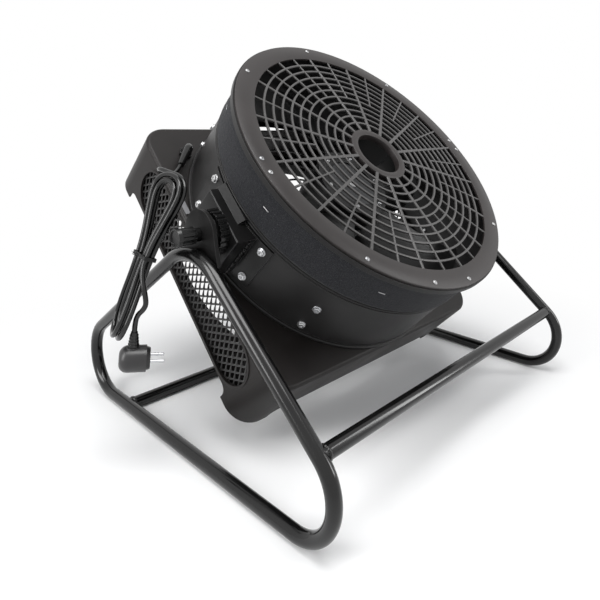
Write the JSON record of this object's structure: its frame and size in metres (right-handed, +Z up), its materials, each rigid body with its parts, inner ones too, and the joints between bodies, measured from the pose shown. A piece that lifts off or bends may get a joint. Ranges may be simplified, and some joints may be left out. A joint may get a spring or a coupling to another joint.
{
  "type": "drum fan",
  "caption": "Tilting drum fan with a round guarded outlet, boxy rear intake housing, bent-tube stand, clamp knobs and a tied mains lead.",
  "frame": {"origin": "on the floor under the middle of the stand", "axes": "+Z up, -Y the way the fan blows, X along the tilt axis"},
  "size_m": [0.7783, 0.6266, 0.6423],
  "materials": {
    "gloss_black_steel": "gloss black paint on steel tube",
    "black_bracket_steel": "satin black paint",
    "black_rubber": "black flexible sheath",
    "matt_black_steel": "fine textured black powder coat",
    "hook_tape": "black hook-and-loop tape",
    "black_plastic": "moulded black plastic",
    "zinc_steel": "zinc-plated steel",
    "stator_iron": "stacked laminations",
    "rotor_iron": "black painted rotor",
    "copper_winding": "enamelled copper wire",
    "capacitor_can": "pale plastic can"
  },
  "bodies": {
    "stand": {"left_side_loop": "gloss_black_steel", "right_side_loop": "gloss_black_steel", "front_crossbar": "gloss_black_steel", "rear_crossbar": "gloss_black_steel", "left_pivot_plate": "black_bracket_steel", "right_pivot_plate": "black_bracket_steel", "left_friction_washer": "black_rubber", "right_friction_washer": "black_rubber"},
    "head": {"housing_shell": "matt_black_steel", "left_intake_mesh": "matt_black_steel", "right_intake_mesh": "matt_black_steel", "drum": "matt_black_steel", "hook_band": "hook_tape", "front_guard": "black_plastic", "guard_screws": "zinc_steel", "left_trunnion_bracket": "black_bracket_steel", "right_trunnion_bracket": "black_bracket_steel", "left_pivot_boss": "black_plastic", "right_pivot_boss": "black_plastic", "pivot_nuts": "zinc_steel", "bracket_bolts": "zinc_steel", "motor_mount": "matt_black_steel", "arm_bolts": "zinc_steel", "stator_core": "stator_iron", "stator_winding": "copper_winding", "motor_bearings": "zinc_steel", "rear_guard": "matt_black_steel", "cable_gland": "black_plastic", "gland_nut": "black_plastic", "strain_relief": "black_rubber", "terminal_box": "black_plastic", "terminal_box_lid": "black_plastic", "run_capacitor": "capacitor_can", "cord_lead": "black_rubber", "cord_hank": "black_rubber", "cord_tail": "black_rubber", "hank_tie": "black_rubber", "plug_sleeve": "black_rubber", "mains_plug": "black_plastic", "plug_pins": "zinc_steel"},
    "impeller": {"rotor_can": "rotor_iron", "fan_blades": "black_plastic", "motor_shaft": "zinc_steel", "blade_screws": "zinc_steel"},
    "left_knob": {"left_clamp_knob": "black_plastic", "left_clamp_stud": "zinc_steel"},
    "right_knob": {"right_clamp_knob": "black_plastic", "right_clamp_stud": "zinc_steel"}
  },
  "joints": [
    {"name": "head_tilt", "type": "hinge", "parent": "stand", "child": "head", "pos_m": [0, -0.02866, 0.34063], "axis": [1, 0, 0], "range_deg": [-45, 44]},
    {"name": "impeller_spin", "type": "hinge", "parent": "head", "child": "impeller", "pos_m": [0, -0.01189, 0.36648], "axis": [0, -0.7145, 0.6997], "continuous": true},
    {"name": "left_knob_turn", "type": "hinge", "parent": "head", "child": "left_knob", "pos_m": [-0.34, -0.02866, 0.34063], "axis": [-1, 0, 0], "range_deg": [-360, 90]},
    {"name": "right_knob_turn", "type": "hinge", "parent": "head", "child": "right_knob", "pos_m": [0.34, -0.02866, 0.34063], "axis": [1, 0, 0], "range_deg": [-360, 90]}
  ]
}
